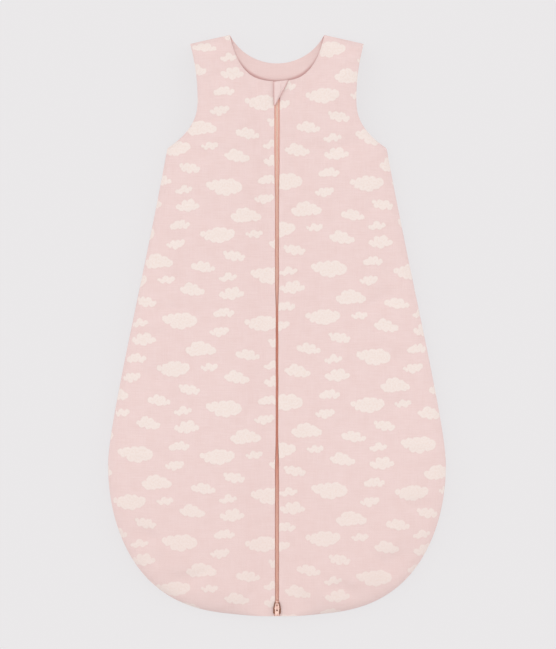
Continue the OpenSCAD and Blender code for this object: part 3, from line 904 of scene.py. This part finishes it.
def block(name, low, high):
    """A box between two corners, to be shaped."""
    deselect()
    middle = [(a + b) / 2 for a, b in zip(low, high)]
    bpy.ops.mesh.primitive_cube_add(size=1, location=middle, scale=[b - a for a, b in zip(low, high)])
    return settle(bpy.context.object, name)


def rod(name, middle, radius, length, turn=(0, 0, 0)):
    """A round bar, to be joined to a piece or cut out of it."""
    deselect()
    bpy.ops.mesh.primitive_cylinder_add(vertices=ROD_SIDES, radius=radius, depth=length,
                                        location=middle, rotation=turn)
    return settle(bpy.context.object, name)


def choose(piece, kind, test=None):
    """Opens a piece in edit mode with the vertices, edges or faces that pass a test selected."""
    only(piece)
    bpy.ops.object.mode_set(mode="EDIT")
    bpy.ops.mesh.select_mode(type=kind)
    bpy.ops.mesh.select_all(action="DESELECT")
    shape = bmesh.from_edit_mesh(piece.data)
    for part in {"VERT": shape.verts, "EDGE": shape.edges, "FACE": shape.faces}[kind]:
        if test is None or test(part):
            part.select_set(True)
    shape.select_flush_mode()
    bmesh.update_edit_mesh(piece.data)


def cut_across(piece, y):
    """Adds a row of edges all round a piece at one place along the zip."""
    choose(piece, "FACE")
    bpy.ops.mesh.bisect(plane_co=(0, y, 0), plane_no=(0, 1, 0))


def upright(edge):
    return abs(edge.verts[0].co.z - edge.verts[1].co.z) > TINY


def faces_up(face):
    return face.normal.z > FACING_UP


def round_edges(piece, width=EDGE_ROUND):
    apply_modifier(piece, "BEVEL", width=width, segments=2, limit_method="ANGLE", angle_limit=ROUND_ANGLE)


def fuse(piece, *others):
    """Makes other pieces part of this one's mesh."""
    only(piece)
    for other in others:
        other.select_set(True)
    bpy.ops.object.join()


def close_up(piece):
    """Closes a piece's open ends and turns all of its faces outwards."""
    choose(piece, "VERT")
    bpy.ops.mesh.fill_holes(sides=0)
    bpy.ops.mesh.select_all(action="SELECT")
    bpy.ops.mesh.normals_make_consistent(inside=False)


def carve(piece, cutter, operation):
    """Cuts another piece out of this one, or joins it to it."""
    apply_modifier(piece, "BOOLEAN", operation=operation, object=cutter, solver="EXACT")
    bpy.data.objects.remove(cutter)


def dress(piece, material):
    piece.data.materials.clear()
    piece.data.materials.append(material)


def finish_piece(piece, material, body, slot, *nodes):
    """Smooths a piece, gives it its finish, and puts it on its body in place of its nodes."""
    only(piece)
    bpy.ops.object.shade_smooth_by_angle(angle=SMOOTH_ANGLE)
    dress(piece, material)
    put_on(piece, body, slot, *nodes)


# Zip chain: the tapes reach in under the coils, which leave a slot for the slider's post
TAPE_IN = 0.15 * MM
COIL_IN, COIL_OUT = 0.1 * MM, 1.6 * MM
COIL_H = 1.5 * MM
COIL_PITCH = 0.86 * MM
WIRE_R = 0.36 * MM
WIRE_SIDES = 5
COIL_SQUARE = 0.6
LOOP_STEPS = 12
CORE_W, CORE_H, CORE_ROUND = 0.8 * MM, 0.8 * MM, 0.2 * MM
STEP_L, TAPE_ROUND = 0.4 * MM, 0.12 * MM


def zip_tape(side, material):
    """Woven tape, narrow at the stops and the neck end's fittings and wide under the coil."""
    low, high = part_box(f"{side}_zip_tape")
    coil_low, coil_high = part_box(f"{side}_zip_coil")
    sign = SIDES[side]
    inner_x = high.x if side == "left" else low.x
    tape = block(f"{side}_tape", low, high)
    first, last = coil_low.y + STEP_L, coil_high.y - STEP_L
    for y in (coil_low.y, first, last, coil_high.y):
        cut_across(tape, y)
    choose(tape, "VERT", lambda vert: abs(vert.co.x - inner_x) < TINY
           and first - TINY < vert.co.y < last + TINY)
    bpy.ops.transform.translate(value=(sign * TAPE_IN - inner_x, 0, 0))
    apply_modifier(tape, "BEVEL", width=TAPE_ROUND, segments=2, limit_method="ANGLE")
    finish_piece(tape, material, "bag", "zip_tape", f"{side}_zip_tape")


def zip_coil(side, material):
    """A coil of nylon wire wound round a core, along the tape's inner edge."""
    low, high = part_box(f"{side}_zip_coil")
    _, tape_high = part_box(f"{side}_zip_tape")
    sign = SIDES[side]
    loop_half = (COIL_OUT - COIL_IN) / 2
    middle_x = sign * (COIL_OUT + COIL_IN) / 2
    middle_z = tape_high.z + COIL_H / 2
    start_y = low.y + WIRE_R + (COIL_PITCH / 2 if side == "left" else 0)
    turns = int((high.y - WIRE_R - start_y) / COIL_PITCH)
    deselect()
    bpy.ops.mesh.primitive_circle_add(vertices=WIRE_SIDES, radius=WIRE_R)
    coil = settle(bpy.context.object, f"{side}_coil")
    choose(coil, "VERT")
    bpy.ops.transform.translate(value=(sign * (loop_half - WIRE_R), 0, 0))
    apply_modifier(coil, "SCREW", axis="Y", angle=2 * math.pi, screw_offset=COIL_PITCH,
                   iterations=turns, steps=LOOP_STEPS, render_steps=LOOP_STEPS)
    apply_modifier(coil, "CAST", cast_type="CUBOID", use_y=False, factor=COIL_SQUARE)
    close_up(coil)
    bpy.ops.transform.resize(value=(1, 1, COIL_H / (2 * loop_half)), center_override=(0, 0, 0))
    bpy.ops.transform.translate(value=(middle_x, start_y, middle_z))
    core = block("core", (middle_x - CORE_W / 2, low.y, middle_z - CORE_H / 2),
                 (middle_x + CORE_W / 2, high.y, middle_z + CORE_H / 2))
    apply_modifier(core, "BEVEL", width=CORE_ROUND, segments=3)
    fuse(coil, core)
    finish_piece(coil, material, "bag", "zip_coil", f"{side}_zip_coil")


STOP_CORNER = 0.6 * MM


def end_stop(side, material):
    """A small clip, rounded where it is pressed shut round the coil's hem end."""
    stop = block(f"{side}_stop", *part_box(f"{side}_end_stop"))
    choose(stop, "EDGE", upright)
    bpy.ops.mesh.bevel(offset=STOP_CORNER, segments=4)
    round_edges(stop, STOP_CORNER / 2)
    finish_piece(stop, material, "bag", "rose_metal", f"{side}_end_stop")


# Slider: plates drawn in to the neck end, a raised rim, a thin post, the crown and the pull tab
SLIDER_ROWS = (0.36, 0.5, 0.64, 0.78, 0.9)
SLIDER_NECK_HALF = 2.4 * MM
PLATE_T = 0.8 * MM
HEM_CORNER, NECK_CORNER = 0.4 * MM, 0.9 * MM
RIM_W, RIM_H = 1.4 * MM, 0.25 * MM
NOSE_L, NOSE_HALF = 2 * MM, 1.7 * MM
POST_T, POST_L, POST_IN = 0.2 * MM, 4 * MM, 0.5 * MM
CROWN_T = 0.8 * MM
TAB_T = 1 * MM
TAB_ARM = 1.1 * MM
TAB_CORNER = 1.2 * MM
TAB_WINDOW = 2.7 * MM
BAR_R = 0.6 * MM
ARCH_STEPS = 12
CUT_PAST = 1 * MM
tab_joint = next(joint for joint in frame["record"]["behaviour"]["joints"] if joint["name"] == "tab_swing")
tab_mount = next(mount for mount in frame["record"]["mounts"] if mount["name"] == "tab_hole")


def slider_plate(name, low, high):
    """One plate: straight at the hem end and drawn in like an arch to the neck end."""
    plate = block(name, low, high)
    length = high[1] - low[1]
    for share in SLIDER_ROWS:
        cut_across(plate, low[1] + share * length)
    for share in SLIDER_ROWS + (1.0,):
        y = low[1] + share * length
        bend = (share - SLIDER_ROWS[0]) / (1 - SLIDER_ROWS[0])
        half = SLIDER_NECK_HALF + (high[0] - SLIDER_NECK_HALF) * math.cos(bend * math.pi / 2)
        choose(plate, "VERT", lambda vert: abs(vert.co.y - y) < TINY)
        bpy.ops.transform.resize(value=(half / high[0], 1, 1), center_override=(0, y, low[2]))
    for end, corner in ((low[1], HEM_CORNER), (high[1], NECK_CORNER)):
        choose(plate, "EDGE", lambda edge: upright(edge) and abs(edge.verts[0].co.y - end) < TINY)
        bpy.ops.mesh.bevel(offset=corner, segments=4)
    return plate


def slider_body(material, centre_material):
    low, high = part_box("slider_body")
    top = slider_plate("slider_plates", (low.x, low.y, high.z - PLATE_T), tuple(high))
    choose(top, "FACE", faces_up)
    bpy.ops.mesh.inset(thickness=RIM_W)
    bpy.ops.transform.translate(value=(0, 0, -RIM_H))
    round_edges(top)
    bottom = slider_plate("bottom_plate", tuple(low), (high.x, high.y, low.z + PLATE_T))
    round_edges(bottom)
    post = block("post", (-POST_T / 2, low.y + POST_IN, low.z + PLATE_T / 2),
                 (POST_T / 2, low.y + POST_IN + POST_L, high.z - PLATE_T / 2))
    choose(post, "EDGE", upright)
    bpy.ops.mesh.bevel(offset=POST_T / 3, segments=2)
    fuse(top, bottom, post)
    finish_piece(top, material, "zip_slider", "rose_metal", "slider_body")
    # The body takes the darker plating as painted shade, and the plain rose plating only on its sunk top
    # and its nose
    top.data.materials.append(centre_material)
    for face in top.data.polygons:
        sunk = faces_up(face) and abs(face.center.z - high.z + RIM_H) < TINY
        nose = face.center.y > high.y - NOSE_L and abs(face.center.x) < NOSE_HALF
        if nose or sunk and face.center.y > low.y + SLIDER_ROWS[0] * (high.y - low.y):
            face.material_index = 1


def slider_crown(material):
    """An arched bridge over the pull tab's bar."""
    low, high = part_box("slider_crown")
    _, axis_y, axis_z = tab_joint["pos_m"]
    foot_y = high.y - CROWN_T / 2
    deselect()
    bpy.ops.mesh.primitive_plane_add(size=1, location=(0, foot_y, low.z))
    crown = settle(bpy.context.object, "slider_bridge")
    choose(crown, "FACE")
    bpy.ops.transform.resize(value=(high.x - low.x, CROWN_T, 1), center_override=(0, foot_y, low.z))
    bpy.ops.mesh.extrude_region_move(TRANSFORM_OT_translate={"value": (0, 0, axis_z - low.z)})
    bpy.ops.mesh.spin(steps=ARCH_STEPS, angle=math.pi, center=(0, axis_y, axis_z), axis=(-1, 0, 0))
    bpy.ops.mesh.extrude_region_move(TRANSFORM_OT_translate={"value": (0, 0, low.z - axis_z)})
    choose(crown, "VERT")
    bpy.ops.mesh.remove_doubles(threshold=TINY / 10)
    close_up(crown)
    round_edges(crown)
    finish_piece(crown, material, "zip_slider", "rose_metal", "slider_crown")


def pull_tab(material):
    """A flat tab with a rounded end, a window for the crown, a bar to turn on and a round hole."""
    low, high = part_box("pull_tab")
    _, axis_y, axis_z = tab_joint["pos_m"]
    tab = block("tab_plate", (low.x, low.y, axis_z - TAB_T / 2), (high.x, axis_y, axis_z + TAB_T / 2))
    choose(tab, "EDGE", lambda edge: upright(edge) and edge.verts[0].co.y < low.y + TINY)
    bpy.ops.mesh.bevel(offset=TAB_CORNER, segments=6)
    window = block("window", (low.x + TAB_ARM, axis_y - TAB_WINDOW, low.z - CUT_PAST),
                   (high.x - TAB_ARM, axis_y + CUT_PAST, high.z + CUT_PAST))
    carve(tab, window, "DIFFERENCE")
    hole_r = tab_mount["dims"]["r_mm"] * MM
    carve(tab, rod("hole", tab_mount["pos_m"], hole_r, 4 * TAB_T), "DIFFERENCE")
    across = (0, math.pi / 2, 0)
    carve(tab, rod("bar", (0, axis_y, axis_z), BAR_R, high.x - low.x, across), "UNION")
    round_edges(tab)
    finish_piece(tab, material, "tab", "rose_metal", "pull_tab")


# Chin guard: one cloth folded at its sewn edge, with a turned hem along the slanting edge
CHIN_ROWS = 26
CHIN_BEND = 0.65
CHIN_PLY = 0.45 * MM
CHIN_LOW, CHIN_HIGH, CHIN_HEM = 0.3 * MM, 0.97 * MM, 0.85 * MM
CHIN_FOLD_X = 4.5 * MM
CHIN_HEM_W = 1.3 * MM
CHIN_CORNER = (14 * MM, 2.2 * MM)
# Widths of the painted shade along the guard's left edge and along its slanting edge
CHIN_LEFT_SHADE_W, CHIN_RIGHT_SHADE_W = 1.5 * MM, 1.1 * MM
CHIN_LEFT_TIP, CHIN_RIGHT_TIP = (0.5 * MM, 1.1 * MM), (1.5 * MM, 0.7 * MM)
CHIN_WAIST, CHIN_FOLD_MOST, CHIN_HEM_MOST = 0.27, 0.75, 0.3
# Points across it: over the fold, round the fold, under it and round the hem
CHIN_OVER, CHIN_BOW, CHIN_UNDER, CHIN_TURN = 9, 6, 14, 5


def chin_guard(material):
    low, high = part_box("chin_guard")
    bend_y = high.y - CHIN_BEND * (high.y - low.y)
    left_line = np.array([(low.x, high.y), (low.x, bend_y),
                          (low.x + CHIN_LEFT_TIP[0], low.y - CHIN_LEFT_TIP[1])])
    right_line = np.array([(CHIN_CORNER[0], high.y + CHIN_CORNER[1]), (CHIN_WAIST * high.x, bend_y),
                           (low.x + CHIN_RIGHT_TIP[0], low.y - CHIN_RIGHT_TIP[1])])
    turn, rise = (CHIN_HIGH - CHIN_LOW) / 2, (CHIN_HEM - CHIN_LOW) / 2
    bow = np.linspace(math.pi / 2, 3 * math.pi / 2, CHIN_BOW)
    back = np.linspace(-math.pi / 2, math.pi / 2, CHIN_TURN)
    z = np.concatenate([np.full(CHIN_OVER - 1, CHIN_HIGH), (CHIN_HIGH + CHIN_LOW) / 2 + turn * np.sin(bow),
                        np.full(CHIN_UNDER - 2, CHIN_LOW), (CHIN_HEM + CHIN_LOW) / 2 + rise * np.sin(back),
                        [CHIN_HEM]])
    rows, flats, edge_shades = [], [], []
    shares = np.linspace(0, 1, CHIN_ROWS)
    for left, right in zip(along(left_line, shares), along(right_line, shares)):
        fold = min(CHIN_FOLD_X, left[0] + CHIN_FOLD_MOST * (right[0] - left[0]))
        hem = min(CHIN_HEM_W, CHIN_HEM_MOST * (right[0] - left[0]))
        x = np.concatenate([np.linspace(fold, left[0] + turn, CHIN_OVER)[:-1],
                            left[0] + turn + turn * np.cos(bow),
                            np.linspace(left[0] + turn, right[0] - rise, CHIN_UNDER)[1:-1],
                            right[0] - rise + rise * np.cos(back), [right[0] - rise - hem]])
        span = np.clip((x - left[0]) / (right[0] - left[0]), 0, 1)
        y = left[1] + span * (right[1] - left[1])
        rows.append(np.stack([x, y, low.z + z], axis=-1))
        run = np.concatenate([[0], np.cumsum(np.hypot(np.diff(x), np.diff(z)))])
        flats.append(np.stack([run, y], axis=-1))
        # Painted shade along the left edge and the slanting edge, kept on the mesh for the cloth's colour
        edge_shades.append(np.maximum(1 - (x - left[0]) / CHIN_LEFT_SHADE_W, 1 - (right[0] - x) / CHIN_RIGHT_SHADE_W))
    points, flat = np.array(rows), np.array(flats)
    guard, welded = cloth_object("chin_guard_fold", [(points, flat, False)], material)
    marks = np.zeros(len(guard.data.vertices), np.float32)
    marks[welded] = np.clip(np.array(edge_shades), 0, 1).ravel()
    guard.data.attributes.new("folded_edge", "FLOAT", "POINT").data.foreach_set("value", marks)
    apply_modifier(guard, "SOLIDIFY", thickness=CHIN_PLY, offset=0.0)
    subdivide(guard)
    put_on(guard, "chin_flap", "outer_cloth", "chin_guard")


GUARD_CELL = 5 * MM
GUARD_WAVE = 0.35 * MM
GUARD_T = 0.8 * MM
GUARD_SEED = 21


def zip_guard(material):
    """A strip of lining cloth behind the chain, lying a little unevenly."""
    low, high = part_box("zip_guard")
    x = np.linspace(low.x, high.x, round((high.x - low.x) / GUARD_CELL) + 1)
    y = np.linspace(low.y, high.y, round((high.y - low.y) / GUARD_CELL) + 1)
    plan = np.stack(np.meshgrid(x, y), axis=-1)
    level = (low.z + high.z) / 2 - GUARD_WAVE * (1 + np.clip(unevenness(plan, GUARD_SEED), -1, 1))
    half_plan = np.abs(plan) * np.array([1, 0]) + plan * np.array([0, 1])
    room = front_underside(half_plan, edge_reach(half_plan, True), SEAM_STRIP)
    room = room - 2 * PLY_GAP - LINING_T - GUARD_T / 2
    level = np.minimum(level, room)
    guard, _ = cloth_object("zip_guard_strip", [(lift(plan, level), plan, True)], material)
    apply_modifier(guard, "SOLIDIFY", thickness=GUARD_T, offset=0.0)
    put_on(guard, "bag", "lining_cloth", "zip_guard")


print_cloth = printed_jersey()
lining_jersey = plain_jersey("plain_lining_jersey", LINING_PINK, LINING_DEEP)
# The back's lining takes painted shade under the front's neck edge
back_jersey = plain_jersey("back_lining_jersey", LINING_PINK, LINING_DEEP, neck_painted_shade)
# The chin guard's cloth takes painted shade along its marked edges
guard_jersey = plain_jersey("plain_front_jersey", PINK, PINK_DEEP, marked_edge_shade)
tape_weave = woven_tape()
coil_finish = coil_nylon()
rose_metal = plating("rose_plating", ROSE, ROSE_DULL)
# Darker copy of the rose plating, as painted shade on the slider's body
rose_metal_painted_shade = plating("dark_rose_plating", ROSE_PAINTED_SHADE, ROSE_PAINTED_SHADE_DULL)

front_plan, front_lower = padded_front("left", print_cloth)
padded_front("right", print_cloth)
back_plan, back_upper = padded_back(print_cloth)
front_inside = front_lower - tape_lift(front_plan) - LINING_STEP
for side, sign in SIDES.items():
    lining(f"front_{side}_lining", front_plan, front_inside, [sign], lining_jersey)
    zip_tape(side, tape_weave)
    zip_coil(side, coil_finish)
    end_stop(side, rose_metal)
neck_press = LINING_STEP * fade(edge_reach(back_plan, False)["neck"], NECK_PRESS_W)
lining("back_lining", back_plan, back_upper + LINING_STEP - neck_press, [1, -1], back_jersey)
slider_body(rose_metal_painted_shade, rose_metal)
slider_crown(rose_metal)
pull_tab(rose_metal)
chin_guard(guard_jersey)
zip_guard(lining_jersey)
for node in ("retainer_box", "insertion_pin"):
    dress(frame["nodes"][node], rose_metal)

# Stage: a pale floor, soft light from above and the camera straight over the bag
FLOOR_PALE = colour(234, 232, 233)
FLOOR_SIZE = 60.0
FLOOR_Z = -0.3 * MM
FLOOR_EVEN = 0.85
WORLD_LIGHT = 0.6
LAMP_SPREAD = math.radians(60)
LAMPS = {"top_lamp": (0.7, (-4, -2)), "left_lamp": (0.7, (-10, -62)), "right_lamp": (0.7, (-10, 62))}
LENS, SENSOR = 100.0, 36.0
PHOTO_HEIGHT = 649
PHOTO_SCALE = 1.2048 * MM
CAMERA_PLACE = (1.2 * MM, 0.4 * MM)
CAMERA_LEVEL = 15.2 * MM


def pale_floor():
    """Seen directly the floor is mostly its own even tone, with part of the object's shadow on it."""
    pale = Finish("pale_floor", Roughness=0.9, Specular_IOR_Level=0.1, Base_Color=FLOOR_PALE)
    seen = pale.node("LightPath", out="Is Camera Ray")
    for ray in ("Is Glossy Ray", "Is Transmission Ray"):
        seen = pale.maths("MAXIMUM", seen, pale.node("LightPath", out=ray))
    even = pale.node("Emission", {}, {"Color": FLOOR_PALE, "Strength": 1.0})
    lit = Shade(pale, pale.shader.outputs[0])
    mixed = pale.node("MixShader", {}, {0: seen * FLOOR_EVEN, 1: lit, 2: even})
    pale.feed(pale.tree.nodes["Material Output"].inputs["Surface"], mixed)
    return pale.material


deselect()
bpy.ops.mesh.primitive_plane_add(size=FLOOR_SIZE, location=(0, 0, FLOOR_Z))
floor = bpy.context.object
floor.name = "floor"
floor.data.materials.append(pale_floor())

world = bpy.data.worlds.new("studio")
scene.world = world
world.use_nodes = True
world.node_tree.nodes["Background"].inputs["Color"].default_value = (1, 1, 1, 1)
world.node_tree.nodes["Background"].inputs["Strength"].default_value = WORLD_LIGHT

for name, (strength, turn) in LAMPS.items():
    lamp_data = bpy.data.lights.new(name, "SUN")
    lamp_data.energy = strength
    lamp_data.angle = LAMP_SPREAD
    lamp = bpy.data.objects.new(name, lamp_data)
    lamp.rotation_euler = (math.radians(turn[0]), math.radians(turn[1]), 0)
    scene.collection.objects.link(lamp)

camera_data = bpy.data.cameras.new("camera")
camera_data.lens = LENS
camera_data.sensor_width = SENSOR
camera = bpy.data.objects.new("camera", camera_data)
camera.location = (*CAMERA_PLACE, CAMERA_LEVEL + PHOTO_HEIGHT * PHOTO_SCALE * LENS / SENSOR)
scene.collection.objects.link(camera)
scene.camera = camera
scene.view_settings.view_transform = "Standard"
